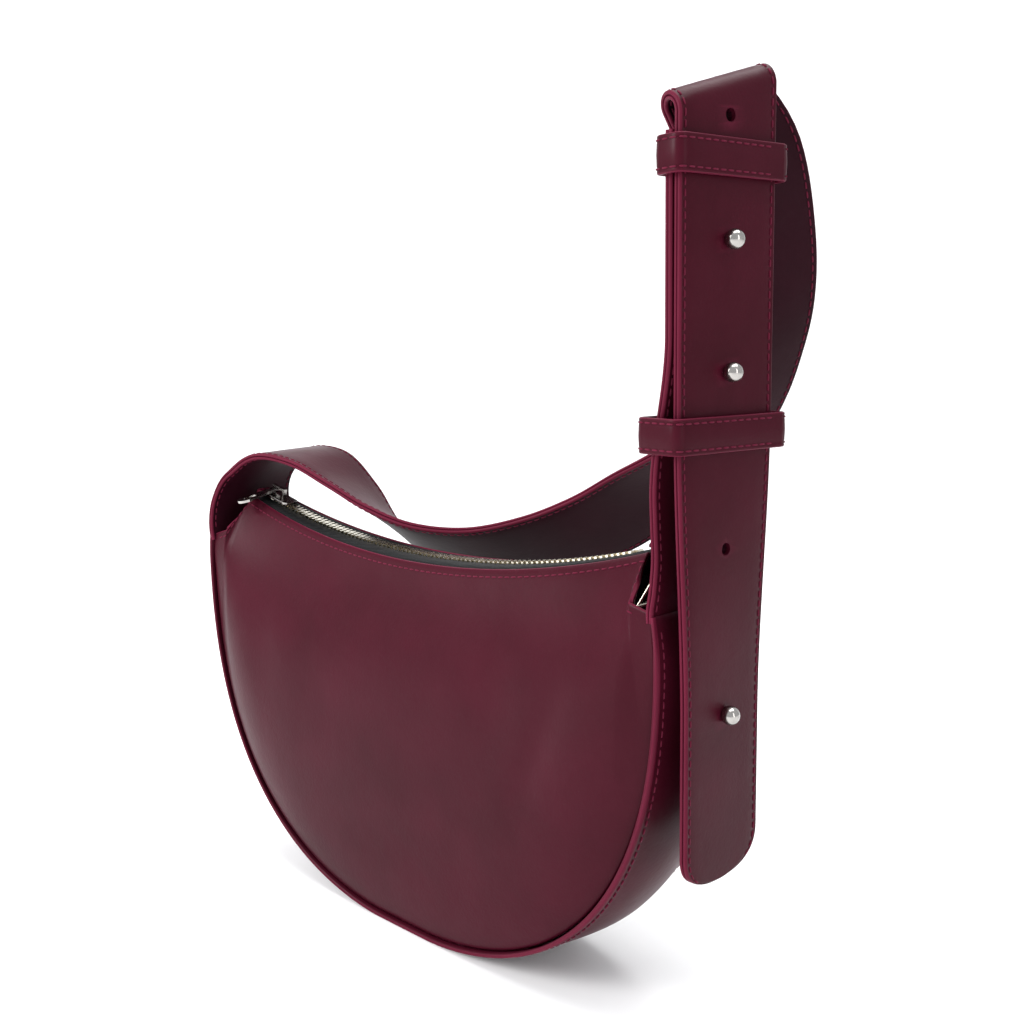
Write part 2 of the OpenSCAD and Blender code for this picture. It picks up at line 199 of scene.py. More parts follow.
def bump(tree, height, distance, strength, below=None):
    node = tree.nodes.new("ShaderNodeBump")
    node.inputs["Distance"].default_value = distance
    node.inputs["Strength"].default_value = strength
    tree.links.new(height, node.inputs["Height"])
    if below is not None:
        tree.links.new(below, node.inputs["Normal"])
    return node.outputs["Normal"]


def leather(name, dark, light, roughness, grain=900.0, grain_strength=0.25, coat=0.25):
    """Smooth coated leather: pebbled grain, slow waviness, sheen that varies, convex ridges made paler as
    a painted highlight.
    """
    material, tree, shader, place = new_material(
        name, Coat_Weight=coat, Coat_Roughness=0.25, Specular_IOR_Level=0.06
    )
    slow = noise(tree, place, 18.0)
    tone = ramp(tree, slow, dark, light)
    fine = tree.nodes.new("ShaderNodeTexVoronoi")
    fine.feature = "SMOOTH_F1"
    fine.inputs["Scale"].default_value = grain
    tree.links.new(place, fine.inputs["Vector"])
    pore = fine.outputs["Distance"]
    geometry = tree.nodes.new("ShaderNodeNewGeometry")
    # Painted highlight: convex ridges such as folds, rounded edges and stitches get a paler base colour,
    # as if catching light.
    ridge_highlight = ramp(tree, geometry.outputs["Pointiness"], (0, 0, 0, 1), (1, 1, 1, 1), (0.52, 0.62))
    ridge_highlight_mix = tree.nodes.new("ShaderNodeMix")
    ridge_highlight_mix.data_type = "RGBA"
    ridge_highlight_mix.inputs["B"].default_value = (light[0] * 1.5, light[1] * 1.6, light[2] * 1.6, 1)
    tree.links.new(tone, ridge_highlight_mix.inputs["A"])
    tree.links.new(ridge_highlight, ridge_highlight_mix.inputs["Factor"])
    tree.links.new(ridge_highlight_mix.outputs["Result"], shader.inputs["Base Color"])
    patchy = noise(tree, place, 45.0, 4.0)
    tree.links.new(scaled(tree, patchy, roughness - 0.06, roughness + 0.08), shader.inputs["Roughness"])
    wavy = bump(tree, noise(tree, place, 26.0, 2.0), 0.0012, 0.35)
    mottled = bump(tree, noise(tree, place, 260.0, 3.0), 0.0002, 0.35, wavy)
    tree.links.new(bump(tree, pore, 0.00012, grain_strength, mottled), shader.inputs["Normal"])
    return material


def metal(name, tint, roughness):
    material, tree, shader, place = new_material(name, Metallic=1.0)
    shader.inputs["Base Color"].default_value = tint
    worn = noise(tree, place, 400.0, 4.0)
    tree.links.new(scaled(tree, worn, roughness - 0.05, roughness + 0.1), shader.inputs["Roughness"])
    tree.links.new(bump(tree, worn, 0.00003, 0.15), shader.inputs["Normal"])
    tree.links.new(
        ramp(tree, worn, tuple(c * 0.85 for c in tint[:3]) + (1,), tint), shader.inputs["Base Color"]
    )
    return material


def cloth(name, dark, light, threads=1400.0):
    """Close woven cloth: two crossed sets of fine threads."""
    material, tree, shader, place = new_material(name, Roughness=0.8, Specular_IOR_Level=0.2)
    bands = []
    for direction in ("X", "Z"):
        wave = tree.nodes.new("ShaderNodeTexWave")
        wave.bands_direction = direction
        wave.inputs["Scale"].default_value = threads / 6.3
        wave.inputs["Distortion"].default_value = 0.4
        tree.links.new(place, wave.inputs["Vector"])
        bands.append(wave.outputs["Fac"])
    weave = tree.nodes.new("ShaderNodeMath")
    weave.operation = "MULTIPLY"
    tree.links.new(bands[0], weave.inputs[0])
    tree.links.new(bands[1], weave.inputs[1])
    height = weave.outputs["Value"]
    tree.links.new(ramp(tree, height, dark, light, (0.1, 0.8)), shader.inputs["Base Color"])
    fuzz = noise(tree, place, 900.0)
    tree.links.new(scaled(tree, fuzz, 0.6, 0.85), shader.inputs["Roughness"])
    tree.links.new(bump(tree, height, 0.0002, 0.5), shader.inputs["Normal"])
    return material


WINE = leather("wine_leather", (0.033, 0.0026, 0.0070, 1), (0.046, 0.0038, 0.0104, 1), 0.34, coat=0.02)
WINE_EDGE = leather("wine_edge", (0.066, 0.005, 0.015, 1), (0.094, 0.008, 0.022, 1), 0.42, 500.0, 0.1, 0.0)
WINE_BACK = leather("wine_backing", (0.014, 0.0012, 0.0040, 1), (0.021, 0.0019, 0.0062, 1), 0.5, coat=0.0)
THREAD = leather("thread", (0.048, 0.004, 0.011, 1), (0.074, 0.007, 0.018, 1), 0.6, 1500.0, 0.3, 0.0)
NICKEL = metal("nickel", (0.42, 0.40, 0.38, 1), 0.16)
PALE_NICKEL = metal("pale_nickel", (0.90, 0.84, 0.70, 1), 0.18)
BLACK_CLOTH = cloth("black_cloth", (0.003, 0.003, 0.0035, 1), (0.012, 0.012, 0.014, 1))
BLACK_TAPE = cloth("black_tape", (0.002, 0.002, 0.0025, 1), (0.008, 0.008, 0.009, 1), 2400.0)

for name, finish in {
    "zip_teeth_front": PALE_NICKEL,
    "zip_teeth_back": PALE_NICKEL,
    "zip_slider": NICKEL,
    "zip_pull": NICKEL,
    "ring_left": PALE_NICKEL,
    "ring_right": PALE_NICKEL,
    "stud_gusset": NICKEL,
    "stud_lower": NICKEL,
    "stud_upper": NICKEL,
    "screw_gusset": NICKEL,
    "screw_lower": NICKEL,
    "screw_upper": NICKEL,
    "lining_front": BLACK_CLOTH,
    "lining_back": BLACK_CLOTH,
    "lining_gusset": BLACK_CLOTH,
}.items():
    node = frame["nodes"][name]
    node.data.materials.clear()
    node.data.materials.append(finish)

# ---- stitching -----------------------------------------------------------------------


def stitches(name, points, faces_out, body="bag", pitch=3.6, length=2.7, radius=0.36):
    """A row of thread stitches along a line of points, each lying on the surface there."""
    points = np.asarray(points, float)
    faces_out = unit(faces_out)
    run = np.concatenate([[0], np.cumsum(np.linalg.norm(np.diff(points, axis=0), axis=1))])
    verts, faces = [], []
    sides = 6
    ends = [(-0.5, 0.25), (-0.38, 0.85), (0.0, 1.0), (0.38, 0.85), (0.5, 0.25)]
    count = int((run[-1] - pitch) / pitch)
    for i in range(count):
        at = (i + 0.75) * pitch
        here = np.array([np.interp(at, run, points[:, k]) for k in range(3)])
        ahead = np.array([np.interp(at + 0.5, run, points[:, k]) for k in range(3)])
        out = unit([np.interp(at, run, faces_out[:, k]) for k in range(3)])
        along = unit(ahead - here)
        side = unit(np.cross(along, out))
        base = len(verts)
        for t, r in ends:
            sink = 0.15 * radius - (0.5 * radius if abs(t) > 0.45 else 0)
            centre = here + along * t * length + out * sink
            for k in range(sides):
                a = 2 * math.pi * k / sides
                verts.append(centre + radius * r * (math.cos(a) * side + math.sin(a) * out))
        for ring in range(len(ends) - 1):
            for k in range(sides):
                a = base + ring * sides + k
                b = base + ring * sides + (k + 1) % sides
                faces.append((a, b, b + sides, a + sides))
        faces.append(tuple(base + k for k in reversed(range(sides))))
        faces.append(tuple(base + (len(ends) - 1) * sides + k for k in range(sides)))
    return make_mesh(name, verts, faces, [THREAD], body)


# ---- half-moon outline and skin --------------------------------------------------------


def outline(angle, inset=0.0):
    """Point (x, z) of the outline; angle in degrees from the bottom centre."""
    a = math.radians(abs(angle))
    x = (HALF_W - inset) * math.sin(a) ** (2 / POWER)
    drop = (WIDEST_Z + SETTLE - inset) * max(0.0, math.cos(a)) ** (2 / POWER)
    over = WIDEST_Z - drop - inset
    return math.copysign(x, angle), inset + 0.5 * (over + math.sqrt(over * over + FOOT_ROUNDING))


def column_outline(column, inset=0.0):
    """Point (x, z) of the outline below a column, 0 in the middle and OUTLINE_STEPS at the side."""
    return outline(90 * column / OUTLINE_STEPS, inset)


def arc_z(x, below=0.0):
    return ARC_CENTRE_Z - np.sqrt((ZIP_R + below) ** 2 - np.asarray(x) ** 2)


def edge_y(x):
    return mix(MIDDLE_Y, END_Y, min(1.0, abs(x) / END_X) ** 2)


def top_border(column):
    """Top edge above a column: along the zip, down the open end, to the seam."""
    end = np.array([END_X, END_Y, arc_z(END_X, EDGE_DROP)])
    corner = np.array([CORNER_X, HALF_D, CORNER_Z])
    seam = np.array([HALF_W - SEAM_LEAN, HALF_D, SEAM_TOP_Z])
    if column <= END_COLUMN:
        x = END_X * column_outline(column)[0] / column_outline(END_COLUMN)[0]
        return np.array([x, edge_y(x), arc_z(x, EDGE_DROP)])
    if column <= CORNER_COLUMN:
        return mix(end, corner, (column - END_COLUMN) / (CORNER_COLUMN - END_COLUMN))
    return mix(corner, seam, (column - CORNER_COLUMN) / (OUTLINE_STEPS - CORNER_COLUMN))


# Soft hollows in the skin: middle x, middle z, half width, half height, depth, lean.
HOLLOWS = [
    (92, 118, 9, 34, 1.3, 0.35),
    (60, 128, 16, 26, 0.9, -0.15),
    (-20, 140, 40, 12, 0.7, 0.0),
    (-98, 120, 14, 30, 0.9, -0.2),
    (10, 40, 60, 14, 0.6, 0.05),
]


def hollow(x, z):
    depth = 0.0
    for mx, mz, half_x, half_z, deep, lean in HOLLOWS:
        across = (x - mx - lean * (z - mz)) / half_x
        depth += deep * math.exp(-across * across - ((z - mz) / half_z) ** 2)
    return depth


def skin(column, v, inset):
    """Point of the bag's back skin; the front is its mirror image."""
    side = math.copysign(1.0, column)
    k = abs(column)
    low_x, low_z = column_outline(k, inset)
    top = top_border(k)
    across = low_x / HALF_W
    fullness = mix(2.0, 8.0, across**4)
    swell = PANEL_SWELL * (4 * v * (1 - v)) ** 0.7 * (1 - across**6)
    top_x = top[0] - inset * across**8
    y = mix(HALF_D, top[1], v**fullness) + swell - inset
    x = side * mix(low_x, top_x, v)
    z = mix(low_z, top[2], v)
    return np.array([x, y - hollow(x, z) * math.sin(math.pi * v), z])


PANEL_INSET = 2.0


HEM_DROP = 2.8
RISE_STEPS = 61
CROWN = range(RISE_STEPS - 1, RISE_STEPS + 3)


def panel(name, side):
    """A leather panel with a rounded, painted top edge and a row of stitches under it."""
    columns = np.linspace(-OUTLINE_STEPS, OUTLINE_STEPS, 177)
    rise = np.linspace(0, 1, RISE_STEPS)
    rise = mix(rise, ease(rise), 0.5)
    grid = np.array([[skin(c, v, PANEL_INSET) for v in rise] for c in columns])
    along = np.gradient(grid, axis=0)
    up = np.gradient(grid, axis=1)
    out = unit(np.cross(up, along))
    out *= np.sign(out[:, 20:40, 1].mean())
    inner = grid - out * LEATHER
    lip = mix(grid[:, -1], inner[:, -1], 0.5)
    lift = unit(up[:, -1])
    rings = []
    for i in range(len(columns)):
        crown = [
            mix(grid[i, -1], lip[i], 0.3) + lift[i] * 0.5,
            lip[i] + lift[i] * 0.75,
            mix(inner[i, -1], lip[i], 0.3) + lift[i] * 0.5,
        ]
        rings.append(np.concatenate([grid[i], crown, inner[i, ::-2]]))
    rings = np.array(rings)
    rings[:, :, 1] *= side
    verts, faces = loft(rings)
    ring_len = rings.shape[1]
    edge = [1 if min(face) % ring_len in CROWN and len(face) == 4 else 0 for face in faces]
    obj = make_mesh(name, verts, faces, [WINE, WINE_EDGE], "bag", name, edge)
    flip = np.array([1, side, 1])
    tall = [max(20.0, top_border(abs(c))[2] - column_outline(c)[1]) for c in columns]
    hem = np.array([skin(c, 1 - HEM_DROP / h, PANEL_INSET) for c, h in zip(columns, tall)])
    stitches(name + "_top_stitching", (hem * flip)[4:-4], (out[:, -2] * flip)[4:-4])
    return obj


panel("front_panel", -1)
panel("back_panel", 1)

# ---- gusset ------------------------------------------------------------------------------


def u_path():
    """Points (x, z) of the U from the left top to the right top, and its outward directions."""
    rise = np.linspace(1, 0, 7)[:-1]
    left = [(-(HALF_W - SEAM_LEAN * r * r), mix(WIDEST_Z, SEAM_TOP_Z, r)) for r in rise]
    round_part = [outline(a) for a in np.linspace(-90, 90, 181)]
    right = [(-x, z) for x, z in reversed(left)]
    path = np.array(left + round_part + right)
    along = unit(np.gradient(path, axis=0))
    return path, np.stack([along[:, 1], -along[:, 0]], axis=1)


def swell_at(z):
    return GUSSET_SWELL * ease((z - 4) / 36) * (1 - 0.8 * ease((z - 146) / 18))


GUSSET_PATH, GUSSET_OUT = u_path()


def gusset_point(i, y, out):
    """Point of the gusset at step i of the U, at depth y, out from the seam line."""
    s = y / HALF_D
    fade = 1 - ease((GUSSET_PATH[i, 1] - 140) / 20) if out > 0 else 1.0
    lift = swell_at(GUSSET_PATH[i, 1]) * (1 - s * s) + out * fade
    x, z = GUSSET_PATH[i] + GUSSET_OUT[i] * lift
    return np.array([x, y, max(z, 0.0 if out >= 0 else -out)])


def gusset():
    outer = [(-1.0, -0.6), (-1.012, -0.2), (-1.0, 0.25), (-0.975, 0.5), (-0.945, 0.35), (-0.91, 0.0)]
    outer += [(s, 0.0) for s in np.linspace(-0.8, 0.8, 17)]
    outer += [(-s, h) for s, h in reversed(outer[:6])]
    inner = [(1.0, -1.2), (0.985, -LEATHER)]
    inner += [(s, -LEATHER) for s in np.linspace(0.9, -0.9, 13)]
    inner += [(-0.985, -LEATHER), (-1.0, -1.2)]
    profile = outer + inner
    rings = [
        [gusset_point(i, s * HALF_D, h) for s, h in profile] for i in range(len(GUSSET_PATH))
    ]
    verts, faces = loft(rings)
    last = len(profile)
    edge = []
    for face in faces:
        j = min(face) % last
        edge.append(1 if len(face) == 4 and (j < 4 or 24 <= j <= 28) else 0)
    make_mesh("gusset_leather", verts, faces, [WINE, WINE_EDGE], "bag", "gusset", edge)
    for side, label in ((-1, "front"), (1, "back")):
        line = [gusset_point(i, side * (HALF_D - 3.2), 0.05) for i in range(len(GUSSET_PATH))]
        out = [(nx, 0, nz) for nx, nz in GUSSET_OUT]
        stitches("gusset_stitching_" + label, line, out)


gusset()

# ---- zip tapes -------------------------------------------------------------------------------


TAPE_T = 0.6
TAPE_INSET = PANEL_INSET + LEATHER + 0.5
TAPE_HEM = 13 / 14


def zip_tape(name, side):
    """Half the zip's tape: from inside the panel, over its top edge, to the row of teeth."""
    rings = []
    for c in np.linspace(-END_COLUMN, END_COLUMN, 121):
        rows = []
        for down in (0.0, TAPE_T):
            hem = skin(c, TAPE_HEM, TAPE_INSET + down)
            brow = skin(c, 1.0, TAPE_INSET + down)
            x = brow[0]
            row = [
                hem,
                mix(hem, brow, 0.6),
                brow + [0, 0, -0.3],
                [x, mix(brow[1], 3.2, 0.15), arc_z(x, 0.5 + down)],
                [x, mix(brow[1], 3.2, 0.45), arc_z(x, 0.3 + down)],
                [x, 3.4, arc_z(x, down - 0.1)],
            ]
            rows.append(np.array(row))
        rings.append(np.concatenate([rows[0], rows[1][::-1]]))
    rings = np.array(rings)
    rings[:, :, 1] *= side
    verts, faces = loft(rings)
    make_mesh(name + "_cloth", verts, faces, [BLACK_TAPE], "bag", name)


zip_tape("zip_tape_front", -1)
zip_tape("zip_tape_back", 1)

# ---- straps --------------------------------------------------------------------------------------


def turn_at(z):
    return np.radians(STRAP_TURN) * ease((np.asarray(z, float) - GUSSET_STUD_Z) / 110)


def across_at(z):
    t = float(turn_at(z))
    return np.array([math.sin(t), math.cos(t), 0.0])


def facing_at(z):
    t = float(turn_at(z))
    return np.array([math.cos(t), -math.sin(t), 0.0])


def tail_half(z):
    s = float(clamp01((z - TAIL_Z) / 14))
    return STRAP_W / 2 * max(0.12, (1 - (1 - s) ** 2.5) ** (1 / 2.5))


def root_half(above):
    return float(mix(HALF_D, STRAP_W / 2, ease(above / 22)))


FOLD_OUT = facing_at(FOLD_Z)
FOLD_ACROSS = across_at(FOLD_Z)
FOLD_AXIS = math.cos(FOLD_SLANT) * FOLD_ACROSS + np.array([0, 0, math.sin(FOLD_SLANT)])
FOLD_UP = np.array([0, 0, math.cos(FOLD_SLANT)]) - math.sin(FOLD_SLANT) * FOLD_ACROSS
FOLD_CENTRE = np.array([UPRIGHT_X, 0, FOLD_Z]) - FOLD_R * FOLD_OUT


def folded(past, across):
    """Point and facing of the strap, a way past the start of the fold and a way across it."""
    turned = past * math.cos(FOLD_SLANT) - across * math.sin(FOLD_SLANT)
    along = past * math.sin(FOLD_SLANT) + across * math.cos(FOLD_SLANT)
    half_turn = math.pi * FOLD_R
    turn = math.pi * float(clamp01(turned / half_turn))
    face = math.cos(turn) * FOLD_OUT + math.sin(turn) * FOLD_UP
    straight = min(0.0, turned) - max(0.0, turned - half_turn)
    return FOLD_CENTRE + FOLD_R * face + straight * FOLD_UP + along * FOLD_AXIS, face


# How far past the fold's start its rows of points lie, and where the sweep's curve takes over.
FOLD_STEPS = np.arange(-7, 24, 0.75)
FOLD_END = 23.25

# Where the strap sweeps behind the bag to the left end: centre, then direction across.
SWEEP = [
    ((144, 25, 321), (0.49, 0.76, 0.44)),
    ((141, 40, 295), (0.50, 0.82, 0.29)),
    ((138, 48, 272), (0.39, 0.90, 0.17)),
    ((132, 53, 252), (0.27, 0.96, 0.12)),
    ((124, 56, 235), (0.21, 0.98, 0.06)),
    ((111, 59, 220), (0.22, 0.97, -0.05)),
    ((93, 61, 207), (0.23, 0.94, -0.24)),
    ((73, 61, 194), (0.20, 0.88, -0.43)),
    ((49, 58, 179), (0.13, 0.81, -0.57)),
    ((22, 50, 168), (-0.05, 0.78, -0.63)),
    ((-8, 39, 162), (-0.27, 0.74, -0.62)),
    ((-37, 28, 165), (-0.41, 0.74, -0.53)),
    ((-60, 22, 176), (-0.42, 0.82, -0.36)),
    ((-79, 18, 191), (-0.34, 0.93, -0.14)),
    ((-99, 13, 204), (-0.24, 0.97, 0)),
    ((-121, 7, 206), (-0.20, 0.98, 0)),
    ((-137, 3, 195), (-0.13, 0.99, 0)),
    ((-142, 0, 180), (0, 1, 0)),
    ((-STRAP_ROOT_X, 0, STRAP_ROOT_Z), (0, 1, 0)),
]


def smooth_line(values, steps):
    """A smooth curve through a list of values (Catmull-Rom)."""
    values = np.asarray(values, float)
    out = []
    for i in range(len(values) - 1):
        a, b = values[max(0, i - 1)], values[i]
        c, d = values[i + 1], values[min(len(values) - 1, i + 2)]
        for t in np.linspace(0, 1, steps, endpoint=False):
            bend = 2 * a - 5 * b + 4 * c - d + t * (3 * b - 3 * c + d - a)
            out.append(b + 0.5 * t * (c - a + t * bend))
    out.append(values[-1])
    return np.array(out)


def ribs_of(centres, acrosses, halves, fractions):
    """Points and facings across a strap at each station."""
    centres = np.asarray(centres, float)
    along = unit(np.gradient(centres, axis=0))
    face = unit(np.cross(acrosses, along))
    across = np.cross(along, face)
    halves = np.asarray(halves, float)
    reach = np.asarray(fractions)[None, :] * halves[:, None]
    points = centres[:, None] + across[:, None] * reach[..., None]
    return points, np.repeat(face[:, None], len(fractions), axis=1)


def strap_ribs(fractions):
    round_end = TAIL_Z + 14 * (1 - np.cos(np.linspace(0, math.pi / 2, 14)))
    heights = np.concatenate([round_end, np.arange(82, FOLD_Z - 8, 3.0)])
    upright, upright_face = ribs_of(
        [(UPRIGHT_X, 0, z) for z in heights],
        [across_at(z) for z in heights],
        [tail_half(z) for z in heights],
        fractions,
    )
    fold = [[folded(past, f * STRAP_W / 2) for f in fractions] for past in FOLD_STEPS]
    fold_points = np.array([[p for p, _ in row] for row in fold])
    fold_faces = np.array([[n for _, n in row] for row in fold])
    start = folded(FOLD_END, 0)[0]
    start_across = unit(folded(FOLD_END, STRAP_W / 2)[0] - folded(FOLD_END, -STRAP_W / 2)[0])
    centres = smooth_line([start] + [p for p, _ in SWEEP], 7)[1:]
    acrosses = smooth_line([start_across] + [w for _, w in SWEEP], 7)[1:]
    halves = [root_half(p[2] - SEAM_TOP_Z) if p[0] < -130 else STRAP_W / 2 for p in centres]
    sweep, sweep_face = ribs_of(centres, acrosses, halves, fractions)
    return (
        np.concatenate([upright, fold_points, sweep]),
        np.concatenate([upright_face, fold_faces, sweep_face]),
    )


def billet_x(z):
    if z < 175:
        return float(mix(STRAP_ROOT_X, BILLET_LOW_X, ease((z - 166) / 9)))
    return float(mix(BILLET_LOW_X, BILLET_X, ease((z - 205) / 58)))


def billet_ribs(fractions):
    heights = np.linspace(STRAP_ROOT_Z, BILLET_TOP_Z, 66)
    return ribs_of(
        [(billet_x(z), 0, z) for z in heights],
        [across_at(z) for z in heights],
        [root_half(z - SEAM_TOP_Z) for z in heights],
        fractions,
    )


# Half of a ply's section, from its middle to its edge: share of the half width, height.
FACE_SIDE = [(0, 1.72), (0.35, 1.71), (0.65, 1.68), (0.8, 1.64), (0.87, 1.5), (0.9, 1.42),
             (0.93, 1.52), (0.96, 1.6), (0.98, 1.5), (0.993, 1.2), (1.0, 0.8)]
BACK_SIDE = [(0.996, 0.35), (0.98, 0.08), (0.9, 0.05), (0.5, 0.05)]


def ply(name, node, ribs, side, finish):
    """One ply of a strap: side 1 is the outer one, -1 the inner one."""
    half = FACE_SIDE + BACK_SIDE
    section = half + [(0, 0.05)] + [(-f, h) for f, h in reversed(half[1:])]
    points, faces_out = ribs([f for f, _ in section])
    heights = side * np.array([h for _, h in section])
    rings = points + faces_out * heights[None, :, None]
    verts, faces = loft(rings)
    count = len(section)
    edge = []
    for face in faces:
        f = abs(section[min(face) % count][0])
        edge.append(1 if f >= 0.975 and len(face) == 4 else 0)
    return make_mesh(name, verts, faces, [finish, WINE_EDGE], "bag", node, edge)


def punch(obj, heights, diameter, x):
    """Cuts round holes through a strap, square to its face."""
    for z in heights:
        out = facing_at(z)
        turn = Vector(out).to_track_quat("Z", "Y")
        bpy.ops.mesh.primitive_cylinder_add(
            vertices=32, radius=diameter * 0.0005, depth=0.009, rotation=turn.to_euler(),
            location=(x * 0.001, 0, z * 0.001),
        )
        cutter = bpy.context.object
        cut = obj.modifiers.new("hole", "BOOLEAN")
        cut.object = cutter
        cut.solver = "EXACT"
        bpy.context.view_layer.objects.active = obj
        with bpy.context.temp_override(object=obj, active_object=obj):
            bpy.ops.object.modifier_apply(modifier=cut.name)
        bpy.data.objects.remove(cutter)
    obj.data.set_sharp_from_angle(angle=math.radians(40))


def strap_edge_stitches(name, ribs, first, out_side=1):
    """Thread rows along both edges of a strap, from its first stitched station to its end."""
    for side in (-1, 1):
        points, faces_out = ribs([side * 0.9])
        line = points[first:, 0] + out_side * faces_out[first:, 0] * 1.5
        label = "near" if side < 0 else "far"
        stitches(f"{name}_{label}", line, out_side * faces_out[first:, 0])


for strap in (
    ply("shoulder_strap_leather", "shoulder_strap", strap_ribs, 1, WINE),
    ply("shoulder_lining_leather", "shoulder_lining", strap_ribs, -1, WINE_BACK),
):
    punch(strap, STRAP_HOLES, HOLE_D, UPRIGHT_X)
strap_edge_stitches("strap_stitching", strap_ribs, 5)
strap_edge_stitches("strap_back_stitching", strap_ribs, 5, out_side=-1)

ply("billet_strap_leather", "billet_strap", billet_ribs, 1, WINE)
ply("billet_lining_leather", "billet_lining", billet_ribs, -1, WINE)
strap_edge_stitches("billet_stitching", billet_ribs, 1)
strap_edge_stitches("billet_back_stitching", billet_ribs, 1, out_side=-1)

# ---- keepers ------------------------------------------------------------------------------------

KEEPER_H = 12.5
KEEPER_T = 2.0
STRAP_FACE_X = UPRIGHT_X + STRAP_FACE_OUT


def round_corner(cx, cy, r, start, steps=6):
    """Points of a quarter circle and the way each faces, from an angle in degrees."""
    angles = np.radians(np.linspace(start, start + 90, steps))
    return [((cx + r * math.cos(a), cy + r * math.sin(a)), (math.cos(a), math.sin(a))) for a in angles]


def keeper(name, body, z, inner_x, outer_x, slack_y):
    """A leather loop round both runs of the strap, edge-turned and stitched top and bottom."""
    low, high = inner_x - UPRIGHT_X - KEEPER_T, outer_x - UPRIGHT_X + KEEPER_T
    half = STRAP_W / 2 + slack_y + KEEPER_T
    r = 4.0
    loop = round_corner(high - r, half - r, r, 0) + round_corner(low + r, half - r, r, 90)
    loop += round_corner(low + r, -half + r, r, 180) + round_corner(high - r, -half + r, r, 270)
    dense = []
    for i in range(len(loop)):
        (a, na), (b, nb) = loop[i], loop[(i + 1) % len(loop)]
        steps = max(1, int(math.dist(a, b) / 3))
        for k in range(steps):
            t = k / steps
            dense.append((mix(np.array(a), np.array(b), t), unit(mix(np.array(na), np.array(nb), t))))
    top = KEEPER_H / 2
    section = [
        (0, -top + 0.8), (-0.1, -top + 0.3), (-0.5, -top), (-KEEPER_T + 0.5, -top),
        (-KEEPER_T, -top + 0.5), (-KEEPER_T, top - 0.5), (-KEEPER_T + 0.5, top), (-0.5, top),
        (-0.1, top - 0.3), (0, top - 0.8), (-0.18, top - 1.7), (0.05, top - 2.6), (0.2, 0),
        (0.05, -top + 2.6), (-0.18, -top + 1.7),
    ]
    t = float(turn_at(z))
    out_x = np.array([math.cos(t), -math.sin(t), 0])
    out_y = np.array([math.sin(t), math.cos(t), 0])
    middle = np.array([UPRIGHT_X, 0, z])

    def place(p, n, off, up):
        q = p + n * off
        return middle + out_x * q[0] + out_y * q[1] + np.array([0, 0, up])

    rings = [[place(p, n, off, up) for off, up in section] for p, n in dense + dense[:1]]
    verts, faces = loft(rings, caps=False)
    count = len(section)
    edge = [1 if min(face) % count in (1, 2, 3, 6, 7) else 0 for face in faces]
    make_mesh(name + "_leather", verts, faces, [WINE, WINE_EDGE], body, name, edge)
    for up, label in ((top - 1.7, "top"), (-top + 1.7, "bottom")):
        line = [place(p, n, -0.1, up) for p, n in dense + dense[:1]]
        out = [out_x * n[0] + out_y * n[1] for p, n in dense + dense[:1]]
        stitches(f"{name}_{label}_stitching", line, out, body)


keeper("keeper_lower", "loop_low", 229, 138.8, STRAP_FACE_X + 2, 2.8)
keeper("keeper_upper", "loop_high", 321, BILLET_X - STRAP_FACE_OUT - 0.8, STRAP_FACE_X + 1.6, 1.6)

# ---- ring tabs and zip end tabs ---------------------------------------------------------------

RING_X = 130.2
RING_Z = 167.0


def ring_tab(name, side):
    """A leather tab folded over the ring's base bar, with a scalloped lower end."""
    r = 1.95
    path = [((r, -16), (1, 0)), ((r, -12), (1, 0)), ((r, -6), (1, 0)), ((r, -2), (1, 0))]
    path += [((r * math.cos(a), r * math.sin(a)), (math.cos(a), math.sin(a)))
             for a in np.linspace(0, math.pi, 9)]
    path += [((-r, -2), (-1, 0)), ((-r, -5), (-1, 0)), ((-r, -8), (-1, 0))]
    rings = []
    widths = np.linspace(-1, 1, 25)
    for w in widths:
        y = 12 * w
        scallop = 1.5 * abs(math.cos(w * math.pi * 1.5))
        outer, inner = [], []
        for k, ((x, z), (nx, nz)) in enumerate(path):
            drop = scallop if k in (0, len(path) - 1) else 0
            for line, off in ((outer, 0.6), (inner, -0.55)):
                line.append((side * (RING_X + x + nx * off), y, RING_Z + z + nz * off + drop))
        rings.append(outer + inner[::-1])
    verts, faces = loft(rings)
    make_mesh(name + "_leather", verts, faces, [WINE], "bag", name)


ring_tab("ring_tab_right", 1)
ring_tab("ring_tab_left", -1)


def zip_end(name, side):
    """A small folded leather patch that closes the end of the zip."""
    x = side * 126.6
    tilt = math.asin(x / ZIP_R)
    along = np.array([math.cos(tilt), 0, math.sin(tilt)])
    up = np.array([-math.sin(tilt), 0, math.cos(tilt)])
    middle = np.array([x, 0, float(arc_z(x))])
    section = [(-2.1, -1.3), (-2.1, -2.2), (-1.6, -2.6), (1.4, -2.6), (2.1, -1.8), (2.1, 1.8),
               (1.4, 2.6), (-1.6, 2.6), (-2.1, 2.2), (-2.1, 1.3), (-1.2, 1.25), (-1.2, -1.25)]
    rings = []
    for y, shrink in ((-5.5, 0.7), (-5.3, 0.92), (-4.8, 1), (4.8, 1), (5.3, 0.92), (5.5, 0.7)):
        rings.append([middle + (along * side * a + up * b * shrink) + np.array([0, y, 0])
                      for a, b in section])
    verts, faces = loft(rings)
    make_mesh(name + "_leather", verts, faces, [WINE], "bag", name)
    line = [middle + up * 2.6 + np.array([0, y, 0]) for y in np.linspace(-5, 5, 6)]
    stitches(name + "_stitching", line, [up] * 6, pitch=2.6, length=1.9)


zip_end("zip_end_right", 1)
zip_end("zip_end_left", -1)

# ---- normals: every leather mesh faces outwards -------------------------------------------------

